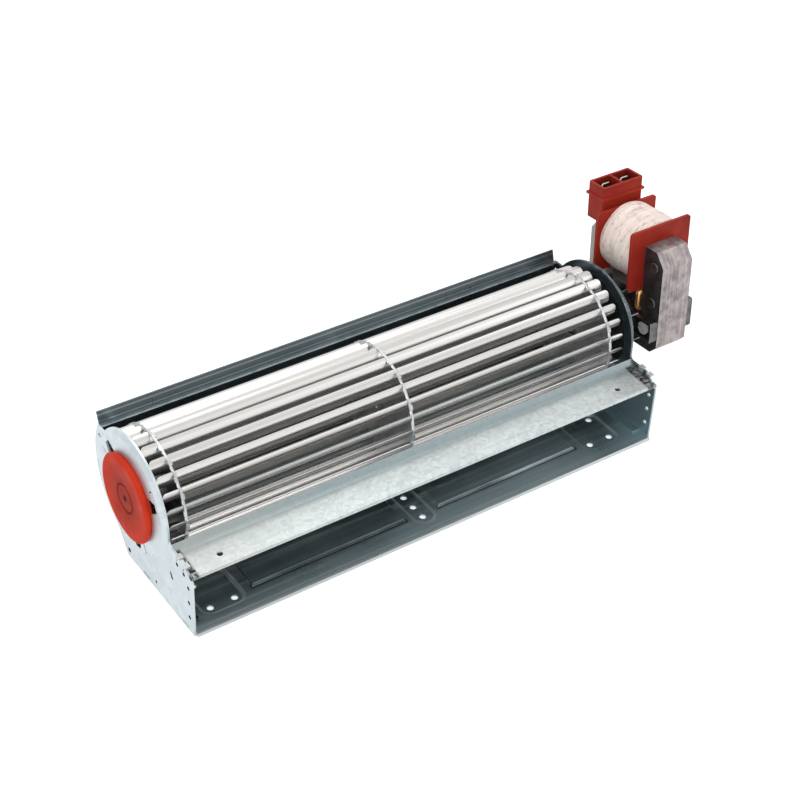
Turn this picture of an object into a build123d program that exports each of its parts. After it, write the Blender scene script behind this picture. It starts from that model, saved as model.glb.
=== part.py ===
from build123d import *
import os
from math import asin, atan2, cos, degrees, hypot, radians, sin, sqrt

# Cross flow fan: a long crimped aluminium impeller in a housing folded from galvanised sheet,
# driven from one end by a skeleton motor with its coil on top. Millimetres.
#
# Everything is drawn about the impeller's axis, which lies along X, with the motor at +X, the
# outlet at -Y and Z up. At the end it is moved so that the origin is the middle hole of the
# centre mounting pad, on the plane that the housing rests on.

# Where the axis lies from the middle mounting hole
axis_height = 43.6
axis_setback = 33.0

# Impeller
blade_count = 24
impeller_radius = 30.0
blade_root_radius = 23.4
blade_tip_angle = 18.0        # between the blade and the circle of the tips
blade_sheet = 0.5
first_tip_angle = 10.3        # of a blade's outer edge, from the back and upwards
section_length = 120.0        # from one disc to the next
blade_overhang = 8.7          # past the end discs
blade_corner = 2.2            # rounding of a blade's ends
disc_sheet = 0.8
disc_rim = 0.45               # of the discs, outside the blade tips
disc_pilot_radius = 4.0
crimp_gap = 0.06              # round a blade in its slot
crimp_width = 2.4
crimp_height = 0.7
press_gap = 0.02              # radial, where a round piece is pressed into another
running_gap = 0.03            # radial, of a shaft in its bush

# End plates and folded sheets
plate_sheet = 1.0
sheet = 0.8
idle_end_gap = 0.8            # blades to the plate at the idle end
motor_end_gap = 3.8           # blades to the plate at the motor end
head_radius = 31.9
head_fillet = 2.5             # between the head and the straight top edge in front
back_radius = 37.2
ear_height = 17.8             # top of the back ear over the axis
foot_inner = 10.5             # back end of the plate's straight bottom edge
front_reach = 52.3            # front edge of the plates from the axis
corner_top = 11.8             # below the axis: where the slanted corner starts
corner_run = 8.0
corner_rise = 6.2
emboss_radius = 31.2
emboss_height = 1.5
foot_flange_width = 5.2       # folded inwards along the floor
foot_flange_front = 6.0       # behind the front edge
foot_flange_back = 12.0       # in front of the axis
motor_hole_radius = 26.6      # opening of the motor plate round the shaft
plate_hole_radius = 1.1
front_hole_inset = 3.5        # behind the front edge
front_hole_drops = (17.5, 26.15, 34.8)
corner_holes = ((13.0, 10.9), (7.2, 12.2))    # behind the front edge, below the axis
corner_slit_rise = 2.6
gauge_slot = (19.1, 22.2)     # behind the front edge, below the axis
tooling_hole = (17.5, 38.6)   # in front of the axis, below it
foot_hole = (8.6, 39.4)       # behind the axis, below it
ear_hole = (31.4, 12.9)       # behind the axis, over it

# Scroll: the folded sheet that is back wall, floor and lips at once
scroll_radius = 35.8          # to the middle of the sheet
scroll_start = 28.7           # degrees over the axis, behind the impeller
scroll_end = -61.0            # where the curve runs out straight to the floor
floor_lift = 1.6              # middle of the floor sheet over the resting plane
lip_reach = 54.3              # front of the hem from the axis
hem_width = 4.6
hem_gap = 0.4
ledge_width = 2.0
flange_lean = 1.9
flange_rise = 6.1
sheet_tab = 5.0               # width of the floor's tabs in the plates
sheet_tab_places = (44.5, 8.0)   # in front of the axis
sheet_tab_gap = 0.15

# Raised panels, mounting pads and holes of the floor
panel_rise = 0.9
panel_front = 41.5
panel_back = 6.0
panel_slope = 2.0
panel_inner = 8.4             # nearest the centre pad
panel_outer = 95.0
pad_drop = 1.2                # the pads are pressed down onto the resting plane
pad_hole_radius = 1.6
pad_hole_pitch = 8.1
centre_pad_half_width = 5.0
side_pad_x = 116.2            # corner hole of an end pad from the centre pad
side_pad_pitch_x = 12.5
side_pad_front = 8.1          # corner hole in front of the middle mounting hole
side_pad_pitch_y = 16.2
side_pad_margin = 4.6

# Vortex strip: the sheet that closes the outlet at the top
strip_front = 53.2
strip_front_drop = 8.7        # middle of the sheet below the axis
strip_back = 37.2
strip_back_drop = 8.0
lip_end = 32.2
lip_end_drop = 5.5
strip_hole_x = 112.9
strip_hole_reach = 45.8
strip_hole_radius = 1.5
strip_flange_depth = 7.0
tab_width = 3.2
tab_places = (front_reach - 11.3, front_reach - 5.4)   # of the tabs over the plates' edges
tab_overhang = 0.8
edge_gap = 0.05               # between a folded sheet and the plate's edge
notch_depth = 2.6             # cut-outs of the strip between its tabs
notch_inner = 2.4             # of the cut-outs behind the first tab's middle
notch_outer = 3.5             # of the cut-outs in front of the second tab's middle

# Bearing at the idle end
mount_hole_radius = 20.5
cap_radius = 21.7
cap_standout = 3.3            # of the cap from the plate's raised face
cap_undercut = 1.5            # from the plate's raised face to the rim of the cap
cap_dish = 0.6                # from the cap's rim down to its middle
cap_groove = (6.6, 7.6)       # radii of the ring groove in the cap
cap_groove_depth = 0.5
notch_angles = (41.0, 157.0, -100.0)
notch_radius = 27.0
notch_width = 4.4
slit_offset = -17.0
slit_inner = 22.6
slit_outer = 27.8
slit_width = 0.7
lug_radius = 24.0
lug_width = 9.0
lug_thickness = 1.6
stub_radius = 3.0
idle_bush_radius = 6.0
idle_bush_length = 8.0

# Motor: a stack of laminations with the coil on top, turned a little on its axis
motor_turn = 4.0
motor_offset = 20.0           # from the plate to the stack
stack_thickness = 19.5
stack_half_width = 27.8
stack_bottom = -15.4
stack_top = 42.4
top_chamfer_width = 5.5
top_chamfer_height = 7.0
bottom_chamfer = 4.5
leg_inner = 14.0
pole_top = 14.5
core_bottom = 27.5
bore_radius = 11.4
air_gap = 0.35
shaft_radius = 2.5
shaft_tail = 9.0              # past the outer bearing face of the stack
rivet_radius = 1.6
rivet_head_radius = 2.6
rivet_head = 0.6
rivet_places = ((21.4, 33.5), (21.4, 13.0))

# Shading rings: bent copper wire through the pole tips
ring_wire = 1.1
ring_hole_gap = 0.1
ring_standout = 1.5
front_ring = ((-12.8, 5.6), (-12.8, 15.8))
rear_ring = ((11.8, -9.9), (19.6, -9.9))

# Bearing bridges, die cast
bridge_thickness = 5.0
bridge_wall = 1.4
inner_bridge = (-7.0, 4.8, 27.6)       # bottom, top, half width
outer_bridge = (-6.4, 10.0, 26.0)
pocket_depth = 3.5
pocket_half = 5.6
screw_y = 20.6
screw_z = -1.0
screw_radius = 2.0
screw_gap = 0.15
screw_head_radius = 3.5
screw_head = 2.3
slot_width = 1.0
slot_depth = 0.9
nut_height = 3.0
screw_end = 1.2               # of the stack screws past their nuts
post_hole_depth = 9.0
plate_screw_length = 8.0      # past the outside of the motor plate
hub_radius = 8.5
hub_standout = 5.5
rotor_recess = 1.6
bush_radius = 5.5
bush_length = 7.0
post_circle = 30.6
post_angles = (-98.0, -57.0, 0.0)      # the last one stands at the bridge's end
post_radius = 3.5
arm_width = 6.0
arm_thickness = 4.0
clip_sheet = 0.4
clip_fingers = 6

# Coil
flange_sheet = 1.5
flange_half_width = 19.5
flange_half_height = 16.8
flange_corner = 1.6
flange_gap = 0.1
tube_wall = 1.2
winding_radius = 18.5
winding_lift = 0.7            # of the winding's middle over the core's
block_width = 26.0
block_near = 16.5
block_far = 28.5
block_bottom = 42.7
block_top = 62.6
block_wall = 1.3
socket_depth = 11.5
rib_drop = 5.8                # below the top of the block
rib_height = 1.2
rib_standout = 0.8
terminal_width = 6.3
terminal_sheet = 0.8
terminal_top_drop = 1.2
terminal_setback = 0.6        # of the terminals behind the middle of their sockets

# Cooling wheel on the motor shaft
wheel_radius = 26.0
wheel_offset = 4.6            # from the plate
wheel_sheet = 0.6
wheel_hub_radius = 5.0
wheel_hub_length = 3.6
vane_count = 12
vane_height = 5.2
vane_inner = 11.0
vane_sweep = 22.0

# Drive hub on the impeller
drive_hub_radius = 8.0
drive_hub_length = 9.0
grub_radius = 2.0

# Places along X that follow from the values above
idle_disc_x = -section_length
drive_disc_x = section_length
idle_plate_inner = idle_disc_x - blade_overhang - idle_end_gap
idle_plate_outer = idle_plate_inner - plate_sheet
motor_plate_inner = drive_disc_x + blade_overhang + motor_end_gap
motor_plate_outer = motor_plate_inner + plate_sheet
stack_near = motor_plate_outer + motor_offset
stack_far = stack_near + stack_thickness
stack_middle = (stack_near + stack_far) / 2
core_middle = (core_bottom + stack_top) / 2
floor_mid = floor_lift - axis_height


def along_x(sketch, x_from, x_to):
    """Extrude a sketch, drawn with Y across and Z up, from one X to another."""
    return Pos(x_from, 0, 0) * extrude(Plane.YZ * sketch, amount=x_to - x_from, dir=(1, 0, 0))


def rod(radius, x_from, x_to, y=0.0, z=0.0):
    """A round bar along X."""
    return along_x(Pos(y, z) * Circle(radius), x_from, x_to)


def block(x_from, x_to, y_from, y_to, z_from, z_to):
    """A box given by its two corners."""
    return Pos((x_from + x_to) / 2, (y_from + y_to) / 2, (z_from + z_to) / 2) * Box(
        x_to - x_from, y_to - y_from, z_to - z_from
    )


def turned(profile):
    """A solid turned about the X axis from corners given as (x, radius)."""
    return revolve(make_face(Polyline(*profile, close=True)), Axis.X)


def polar(radius, angle):
    """A point in the YZ plane; the angle runs from +Y towards +Z."""
    return radius * cos(radians(angle)), radius * sin(radians(angle))


# Impeller
def blade_arc():
    """Radius and sweep of a blade's arc, which leaves the root circle radially and meets
    the tip circle at the blade's tip angle, and how far round the tip lies from the root."""
    ring = impeller_radius**2 - blade_root_radius**2
    bend = ring / (2 * impeller_radius * cos(radians(blade_tip_angle)))
    side = 2 * blade_root_radius * bend
    square = 2 * bend**2
    sweep = degrees(atan2(square, side) + asin((ring - square) / hypot(side, square)))
    across = bend * (1 - cos(radians(sweep)))
    lag = degrees(asin(across / impeller_radius))
    return bend, sweep, lag


def blade_section(thickness, overreach=0.0):
    """One blade seen from its end, longer at both ends by the overreach."""
    bend, sweep, lag = blade_arc()
    reach = degrees(overreach / bend)
    centre = (blade_root_radius, -bend)
    start = 90 + reach
    size = -(sweep + 2 * reach)
    outer = CenterArc(centre, bend + thickness / 2, start, size)
    inner = CenterArc(centre, bend - thickness / 2, start, size)
    ends = [Line(outer @ 0, inner @ 0), Line(outer @ 1, inner @ 1)]
    return Rot(0, 0, first_tip_angle + lag) * make_face([outer, inner, *ends])


def first_blade():
    """A curved strip through all three discs, with rounded corners at its ends."""
    strip = along_x(
        blade_section(blade_sheet), idle_disc_x - blade_overhang, drive_disc_x + blade_overhang
    )
    corners = [edge for edge in strip.edges() if edge.length < 2 * blade_sheet]
    return fillet(corners, blade_corner)


def impeller_disc(x_middle):
    """A punched disc with a slot for each blade; the rim between the slots is crimped
    to one side and the other by turns."""
    face = Circle(impeller_radius + disc_rim) - Circle(disc_pilot_radius)
    slot = blade_section(blade_sheet + 2 * crimp_gap, crimp_gap)
    face -= [Rot(0, 0, n * 360 / blade_count) * slot for n in range(blade_count)]
    disc = along_x(face, x_middle - disc_sheet / 2, x_middle + disc_sheet / 2)
    crimp_middle = impeller_radius + disc_rim / 2 - 0.15
    for n in range(blade_count):
        angle = first_tip_angle + (n + 0.5) * 360 / blade_count
        side = 1 if n % 2 else -1
        ear = Pos(x_middle + side * (disc_sheet + crimp_height) / 2, crimp_middle, 0) * Box(
            crimp_height, disc_rim + 0.3, crimp_width
        )
        disc += Rot(angle, 0, 0) * ear
    return disc


def stub_shaft():
    """The turned pin riveted into the idle disc."""
    x_disc = idle_disc_x - disc_sheet / 2
    shoulder = x_disc - 2.0
    end = idle_plate_outer - emboss_height
    return turned(
        [
            (end, 0), (end, stub_radius - 0.5), (end + 0.5, stub_radius),
            (shoulder, stub_radius), (shoulder, disc_pilot_radius + 3.0),
            (x_disc, disc_pilot_radius + 3.0), (x_disc, disc_pilot_radius - press_gap),
            (idle_disc_x + disc_sheet / 2, disc_pilot_radius - press_gap),
            (idle_disc_x + disc_sheet / 2, disc_pilot_radius + 0.6),
            (idle_disc_x + disc_sheet / 2 + 0.8, disc_pilot_radius - 0.4),
            (idle_disc_x + disc_sheet / 2 + 0.8, 0),
        ]
    )


def drive_hub():
    """The collar riveted to the drive disc and clamped on the motor shaft."""
    x_disc = drive_disc_x + disc_sheet / 2
    bore = shaft_radius + press_gap
    hub = turned(
        [
            (drive_disc_x - disc_sheet / 2 - 0.8, bore),
            (drive_disc_x - disc_sheet / 2 - 0.8, disc_pilot_radius - 0.4),
            (drive_disc_x - disc_sheet / 2, disc_pilot_radius + 0.6),
            (drive_disc_x - disc_sheet / 2, disc_pilot_radius - press_gap),
            (x_disc, disc_pilot_radius - press_gap), (x_disc, drive_hub_radius),
            (x_disc + drive_hub_length - 1.0, drive_hub_radius),
            (x_disc + drive_hub_length, drive_hub_radius - 1.0),
            (x_disc + drive_hub_length, bore),
        ]
    )
    return hub - grub_screw(press_gap, 2.0)


def grub_screw(gap=0.0, longer=0.0):
    """The set screw that holds the drive hub; larger, it is also its hole."""
    x_screw = drive_disc_x + disc_sheet / 2 + drive_hub_length / 2
    length = drive_hub_radius - shaft_radius - 0.6
    screw = Cylinder(grub_radius + gap, length + longer)
    middle = shaft_radius + 0.1 + (length + longer) / 2 - gap
    piece = Pos(x_screw, 0, middle) * screw
    if not longer:
        socket = extrude(RegularPolygon(1.0, 6), amount=1.6, both=True)
        piece -= Pos(x_screw, 0, shaft_radius + 0.1 + length) * socket
    return piece


# End plates
def plate_outline():
    """The end plate seen from the side: a round head in front and on top, a wider round
    back under an ear, a straight foot and a front edge with a slanted corner."""
    head = Circle(head_radius)
    back = Circle(back_radius) & Pos(back_radius / 2, ear_height - back_radius) * Rectangle(
        back_radius, 2 * back_radius
    )
    foot_y, foot_z = polar(back_radius, scroll_end)
    front = Polygon(
        (-front_reach, -axis_height),
        (foot_inner, -axis_height),
        (foot_y, foot_z),
        (0, 0),
        (0, corner_rise - corner_top),
        (-front_reach + corner_run, corner_rise - corner_top),
        (-front_reach, -corner_top),
        align=None,
    )
    outline = head + back + front
    top_edge = corner_rise - corner_top
    neck = Vector(-sqrt(head_radius**2 - top_edge**2), top_edge)
    inner_corner = min(outline.vertices(), key=lambda corner: (Vector(corner) - neck).length)
    return fillet(inner_corner, head_fillet)


def plate_holes():
    """The small holes and slots that both end plates have."""
    small = Circle(plate_hole_radius)
    holes = [Pos(-front_reach + front_hole_inset, -drop) * small for drop in front_hole_drops]
    for inset, drop in corner_holes:
        holes.append(Pos(-front_reach + inset, -drop) * small)
        slit = Rot(0, 0, 20) * Rectangle(0.6, 2.0)
        holes.append(Pos(-front_reach + inset, -drop + corner_slit_rise) * slit)
    inset, drop = gauge_slot
    holes.append(Pos(-front_reach + inset, -drop) * Rot(0, 0, 62) * SlotOverall(4.2, 1.7))
    holes.append(Pos(-tooling_hole[0], -tooling_hole[1]) * Circle(0.8))
    holes.append(Pos(foot_hole[0], -foot_hole[1]) * Circle(1.3))
    holes.append(Pos(*ear_hole) * Circle(1.2))
    tab_slot = Rectangle(sheet_tab + 4 * sheet_tab_gap, sheet + 2 * sheet_tab_gap)
    holes += [Pos(-place, floor_mid) * tab_slot for place in sheet_tab_places]
    return holes


def foot_flange(x_plate, inward):
    """The strip of an end plate that is folded inwards and lies on the floor."""
    edges = sorted((x_plate, x_plate + inward * foot_flange_width))
    bottom = floor_mid + sheet / 2 + edge_gap
    front = -front_reach + foot_flange_front
    return block(*edges, front, -foot_flange_back, bottom, bottom + plate_sheet)


def bayonet_hole():
    """The hole for the bearing mount, with a notch and a slit for each of its lugs."""
    hole = Circle(mount_hole_radius)
    for angle in notch_angles:
        notch = Polygon(
            (mount_hole_radius - 2, notch_width),
            (notch_radius, notch_width / 2),
            (notch_radius, -notch_width / 2),
            (mount_hole_radius - 2, -notch_width),
            align=None,
        )
        slit = Pos((slit_inner + slit_outer) / 2, 0) * Rectangle(slit_outer - slit_inner, slit_width)
        hole += Rot(0, 0, angle) * notch
        hole += Rot(0, 0, angle + slit_offset) * slit
    return hole


def end_plate_idle():
    face = plate_outline() - plate_holes()
    plate = along_x(face, idle_plate_outer, idle_plate_inner)
    raised = idle_plate_outer - emboss_height
    drawn = turned(
        [
            (raised, 0), (raised, emboss_radius - emboss_height),
            (idle_plate_outer, emboss_radius), (idle_plate_outer, 0),
        ]
    )
    hollow = turned(
        [
            (raised + plate_sheet, 0), (raised + plate_sheet, emboss_radius - emboss_height - 0.8),
            (idle_plate_inner, emboss_radius - 0.8), (idle_plate_inner, 0),
        ]
    )
    opening = along_x(bayonet_hole(), raised - 1, idle_plate_inner + 1)
    return plate + drawn - hollow - opening + foot_flange(idle_plate_inner, 1)


def post_places():
    """Where the motor's posts stand on the motor plate."""
    return [polar(post_circle, angle - motor_turn) for angle in post_angles]


def end_plate_motor():
    face = plate_outline() - plate_holes() - Circle(motor_hole_radius)
    face -= [Pos(y, z) * Circle(screw_radius + screw_gap) for y, z in post_places()]
    plate = along_x(face, motor_plate_inner, motor_plate_outer)
    return plate + foot_flange(motor_plate_inner, -1)


# Housing sheets
def floor_line():
    """The scroll sheet's line from the top of the back flange to the front lip."""
    ledge_y, ledge_z = polar(scroll_radius, scroll_start)
    out_y, out_z = polar(scroll_radius, scroll_end)
    slope = radians(scroll_end)
    floor_y = out_y + (out_z - floor_mid) / cos(slope) * sin(slope)
    top = Polyline(
        (ledge_y + ledge_width + flange_lean, ledge_z + flange_rise),
        (ledge_y + ledge_width, ledge_z),
        (ledge_y, ledge_z),
    )
    curve = CenterArc((0, 0), scroll_radius, scroll_start, scroll_end - scroll_start)
    nose = -lip_reach + sheet + hem_gap / 2
    bottom = Polyline((out_y, out_z), (floor_y, floor_mid), (nose, floor_mid))
    hem_drop = sheet + hem_gap
    hem = CenterArc((nose, floor_mid - hem_drop / 2), hem_drop / 2, 90, 180)
    back = Line((nose, floor_mid - hem_drop), (nose + hem_width, floor_mid - hem_drop))
    return top, curve, bottom, hem, back


def raised_panel(x_from, x_to):
    """A long raised field of the floor, with sloping edges; returned as metal and hollow."""
    def lump(shrink, rise):
        middle = Pos((x_from + x_to) / 2, -(panel_front + panel_back) / 2, floor_mid - sheet / 2)
        length = x_to - x_from - 2 * shrink
        width = panel_front - panel_back - 2 * shrink
        low = Rectangle(length, width)
        high = Pos(0, 0, rise) * Rectangle(length - 2 * panel_slope, width - 2 * panel_slope)
        return middle * loft([low, high])
    return lump(0, panel_rise + sheet), lump(sheet * 0.7, panel_rise)


def pressed_pad(outline, drop):
    """A field of the floor pressed down by some drop, and the hollow above it."""
    top = floor_mid + sheet / 2
    under = extrude(Pos(0, 0, floor_mid - sheet / 2 - drop) * offset(outline, sheet), amount=drop)
    over = extrude(Pos(0, 0, top - drop) * outline, amount=drop + 0.01)
    return under, over


def pad_fields():
    """The outlines of the three mounting pads, seen from above, with their holes."""
    centre_y = -axis_setback
    centre = Pos(0, centre_y) * SlotOverall(
        2 * pad_hole_pitch + 2 * centre_pad_half_width, 2 * centre_pad_half_width, rotation=90
    )
    holes = [(0, centre_y + n * pad_hole_pitch) for n in (-1, 0, 1)]
    fields = [centre]
    for side in (-1, 1):
        x = side * side_pad_x
        y = centre_y - side_pad_front
        holes += [(x, y), (x - side * side_pad_pitch_x, y), (x, y + side_pad_pitch_y)]
        middle = Pos(x - side * side_pad_pitch_x / 2, y + side_pad_pitch_y / 2)
        fields.append(
            middle * RectangleRounded(
                side_pad_pitch_x + 2 * side_pad_margin,
                side_pad_pitch_y + 2 * side_pad_margin,
                side_pad_margin,
            )
        )
    return fields, holes


def scroll_housing():
    """Back flange, scroll, floor and front lip, folded from one sheet."""
    profile = Sketch() + [trace(line, line_width=sheet) for line in floor_line()]
    body = along_x(profile, idle_plate_inner, motor_plate_inner)
    for place in sheet_tab_places:
        body += block(
            idle_plate_outer, motor_plate_outer, -place - sheet_tab / 2, -place + sheet_tab / 2,
            floor_mid - sheet / 2, floor_mid + sheet / 2,
        )
    for side in (-1, 1):
        edges = sorted((side * panel_inner, side * panel_outer))
        metal, hollow = raised_panel(*edges)
        body = body + metal - hollow
    fields, holes = pad_fields()
    for field in fields:
        under, over = pressed_pad(field, pad_drop)
        body = body + under - over
    for x, y in holes:
        body -= Pos(x, y, floor_mid) * Cylinder(pad_hole_radius, 6 * sheet)
    return body


def strip_line():
    """The vortex strip's line from its hem over the flat band to the lip by the impeller."""
    nose = -strip_front + sheet + hem_gap / 2
    hem_drop = sheet + hem_gap
    under = Line(
        (nose + hem_width, -strip_front_drop - hem_drop), (nose, -strip_front_drop - hem_drop)
    )
    hem = CenterArc((nose, -strip_front_drop - hem_drop / 2), hem_drop / 2, 270, -180)
    band = Line((nose, -strip_front_drop), (-strip_back, -strip_back_drop))
    lip = TangentArc((-strip_back, -strip_back_drop), (-lip_end, -lip_end_drop), tangent=band % 1)
    return under, hem, band, lip


def vortex_strip():
    """The strip between outlet and inlet, with an end flange at each plate and two tabs
    folded over the plate's edge."""
    profile = Sketch() + [trace(line, line_width=sheet) for line in strip_line()]
    body = along_x(profile, idle_plate_inner, motor_plate_inner)
    flange_face = Polygon(
        (-strip_back - 9.0, -strip_front_drop), (-strip_back, -strip_back_drop),
        (-strip_back, -strip_back_drop - strip_flange_depth),
        (-strip_back - 6.0, -strip_back_drop - strip_flange_depth),
        align=None,
    )
    body += along_x(flange_face, idle_plate_inner, idle_plate_inner + sheet)
    body += along_x(flange_face, motor_plate_inner - sheet, motor_plate_inner)
    for x in (-strip_hole_x, strip_hole_x):
        body -= Pos(x, -strip_hole_reach, -strip_front_drop) * Cylinder(strip_hole_radius, 3 * sheet)
    sides = [place + side * tab_width / 2 for place in tab_places for side in (-1, 1)]
    breaks = [tab_places[0] - notch_inner, *sides, tab_places[1] + notch_outer]
    for x_plate, inward in ((idle_plate_inner, 1), (motor_plate_inner, -1)):
        for near, far in zip(breaks[::2], breaks[1::2]):
            edges = sorted((x_plate, x_plate + inward * notch_depth))
            body -= block(*edges, -far, -near, -strip_front_drop - 1.0, -strip_back_drop + 1.0)
        for place in tab_places:
            body += strip_tab(x_plate, inward, place)
    return body


def strip_tab(x_plate, inward, place):
    """A tab that stands up inside an end plate and is folded over the plate's edge."""
    back = -place + tab_width / 2
    slanted = max(0, -back - (front_reach - corner_run))
    edge = corner_rise - corner_top - slanted * corner_rise / corner_run + edge_gap
    reach = (-place - tab_width / 2, back)
    upright = sorted((x_plate, x_plate + inward * sheet))
    folded = sorted((x_plate + inward * sheet, x_plate - inward * (plate_sheet + tab_overhang)))
    stem = block(*upright, *reach, -strip_front_drop, edge)
    return stem + block(*folded, *reach, edge, edge + sheet)


# Idle bearing
def bearing_mount():
    """The soft moulded mount: a cap outside the plate, a neck in the hole, three bayonet
    lugs behind it and a pocket for the bush."""
    face = idle_plate_outer - emboss_height
    back = face + plate_sheet
    front = face - cap_standout
    middle = front + cap_dish
    rim = face - cap_undercut
    neck = mount_hole_radius - 0.15
    pocket = face - 1.0
    end = pocket + idle_bush_length + 0.6
    body = turned(
        [
            (middle, 0), (middle, cap_groove[0]), (middle + cap_groove_depth, cap_groove[0] + 0.3),
            (middle + cap_groove_depth, cap_groove[1] - 0.3), (middle, cap_groove[1]),
            (front, cap_radius - 1.8), (front + 0.3, cap_radius - 0.5),
            (front + 0.9, cap_radius), (rim, cap_radius), (rim, neck), (back + 0.2, neck),
            (back + 0.2, idle_bush_radius + 5.0),
            (end, idle_bush_radius + 2.6), (end, idle_bush_radius + press_gap),
            (pocket, idle_bush_radius + press_gap), (pocket, 0),
        ]
    )
    lug = along_x(
        Pos(lug_radius / 2 + 7.0, 0) * Rectangle(lug_radius - 14.0, lug_width),
        back + 0.1, back + 0.1 + lug_thickness,
    ) & rod(lug_radius, back, back + 3)
    for angle in notch_angles:
        body += Rot(angle + 30, 0, 0) * lug
    return body - rod(1.0, front - 2, front + 1.0)


def plain_bush(radius, bore, x_from, length):
    """A sintered bush with broken outer edges."""
    edge = 0.6
    x_to = x_from + length
    return turned(
        [
            (x_from, bore), (x_from, radius - edge), (x_from + edge, radius),
            (x_to - edge, radius), (x_to, radius - edge), (x_to, bore),
        ]
    )


# Motor, drawn upright about the axis and turned as one
def lean(shape):
    return Rot(-motor_turn, 0, 0) * shape


def mirrored_places(places):
    return [(side * y, z) for y, z in places for side in (-1, 1)]


def screw_places():
    return [(-screw_y, screw_z), (screw_y, screw_z)]


def stator_stack():
    """The U of laminations: two legs over a pole block with the rotor's bore."""
    half = stack_half_width
    face = Polygon(
        (-half + bottom_chamfer, stack_bottom), (half - bottom_chamfer, stack_bottom),
        (half, stack_bottom + bottom_chamfer), (half, stack_top - top_chamfer_height),
        (half - top_chamfer_width, stack_top), (leg_inner, stack_top), (leg_inner, pole_top),
        (-leg_inner, pole_top), (-leg_inner, stack_top), (-half + top_chamfer_width, stack_top),
        (-half, stack_top - top_chamfer_height), (-half, stack_bottom + bottom_chamfer),
        align=None,
    )
    face -= Circle(bore_radius)
    face -= [Pos(*p) * Circle(screw_radius + screw_gap) for p in screw_places()]
    face -= [Pos(*p) * Circle(rivet_radius + press_gap) for p in mirrored_places(rivet_places)]
    for y, z in (front_ring[0], *rear_ring):
        face -= Pos(y, z) * Circle(ring_wire + ring_hole_gap)
    return lean(along_x(face, stack_near, stack_far))


def coil_core():
    """The bar of laminations that carries the coil between the legs."""
    height = stack_top - core_bottom
    face = Pos(0, core_middle) * Rectangle(2 * leg_inner, height)
    return lean(along_x(face, stack_near, stack_far))


def stack_rivets():
    rivets = Part()
    for y, z in mirrored_places(rivet_places):
        rivets += rod(rivet_radius, stack_near, stack_far, y, z)
        rivets += rod(rivet_head_radius, stack_near - rivet_head, stack_near, y, z)
        rivets += rod(rivet_head_radius, stack_far, stack_far + rivet_head, y, z)
    return lean(rivets)


def shading_ring(places):
    """A closed loop of copper wire through two places of the pole."""
    near = stack_near - ring_standout
    far = stack_far + ring_standout
    ring = Part()
    for y, z in places:
        ring += rod(ring_wire, near, far, y, z)
    (y1, z1), (y2, z2) = places
    run = Vector(0, y2 - y1, z2 - z1)
    for x in (near, far):
        start = Plane(origin=(x, y1, z1), z_dir=run)
        ring += extrude(start * Circle(ring_wire), amount=run.length)
        ring += [Pos(x, y, z) * Sphere(ring_wire) for y, z in places]
    return lean(ring)


def bearing_bridge(x_stack, outward, limits):
    """A die cast bar across the stack: hollow feet over the screws and a hub with the bush
    in its middle. Outward is -1 on the plate's side and 1 on the far side."""
    bottom, top, half = limits

    def span(near, far, *rest):
        """A box whose X is measured outward from the stack."""
        edges = sorted((x_stack + outward * near, x_stack + outward * far))
        return block(*edges, *rest)

    def round_bar(radius, near, far):
        edges = sorted((x_stack + outward * near, x_stack + outward * far))
        return rod(radius, *edges)

    bar = span(0, bridge_thickness, -half, half, bottom, top)
    bar = fillet(bar.edges().filter_by(Axis.X), 1.2)
    hub_end = bridge_thickness + hub_standout
    bar += round_bar(hub_radius, rotor_recess, hub_end)
    bar += round_bar(hub_radius + 3.0, rotor_recess, bridge_thickness + 1.0)
    for side in (-1, 1):
        low = side * (half - bridge_wall)
        high = side * (screw_y - pocket_half)
        pocket = span(
            bridge_thickness - pocket_depth, bridge_thickness + 1,
            min(low, high), max(low, high), bottom + bridge_wall, top - bridge_wall,
        )
        bar -= pocket
    for y, z in screw_places():
        bar -= rod(screw_radius + screw_gap, x_stack - 8, x_stack + 8, y, z)
    bar -= round_bar(bore_radius + 1.4, -1, rotor_recess)
    bar -= round_bar(shaft_radius + 0.8, -1, hub_end + 1)
    return bar - round_bar(bush_radius + press_gap, rotor_recess + 1.0, hub_end + 1)


def inner_bridge_solid():
    """The bridge on the plate's side, cast with three arms and posts that reach the plate."""
    bridge = bearing_bridge(stack_near, -1, inner_bridge)
    arm_far = stack_near - 1.0
    arm_near = arm_far - arm_thickness
    for angle in post_angles:
        root = inner_bridge[2] - bridge_wall if angle == post_angles[-1] else hub_radius - 2.0
        arm = block(arm_near, arm_far, root, post_circle, -arm_width / 2, arm_width / 2)
        post = rod(post_radius, motor_plate_outer, arm_far, post_circle, 0)
        hole = rod(
            screw_radius + press_gap, motor_plate_outer - 1, motor_plate_outer + post_hole_depth,
            post_circle, 0,
        )
        bridge += Rot(angle, 0, 0) * (arm + post)
        bridge -= Rot(angle, 0, 0) * hole
    bridge -= rod(bush_radius + press_gap, stack_near - 20, stack_near - rotor_recess - 1.0)
    bridge -= rod(shaft_radius + 0.8, stack_near - 20, stack_near)
    bridge -= rod(bore_radius + 1.4, stack_near - rotor_recess, stack_near + 1)
    for y, z in (front_ring[0], front_ring[1], *rear_ring):
        bridge -= block(
            stack_near - ring_standout - ring_wire - 0.3, stack_near,
            y - ring_wire - 0.3, y + ring_wire + 0.3, z - ring_wire - 0.3, z + ring_wire + 0.3,
        )
    return lean(bridge)


def outer_bridge_solid():
    bridge = bearing_bridge(stack_far, 1, outer_bridge)
    (y1, z1), (y2, z2) = front_ring
    bridge -= block(
        stack_far, stack_far + ring_standout + ring_wire + 0.3,
        y1 - ring_wire - 0.3, y1 + ring_wire + 0.3, z1 - ring_wire - 0.5, z2 + ring_wire + 0.3,
    )
    return lean(bridge)


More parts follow.
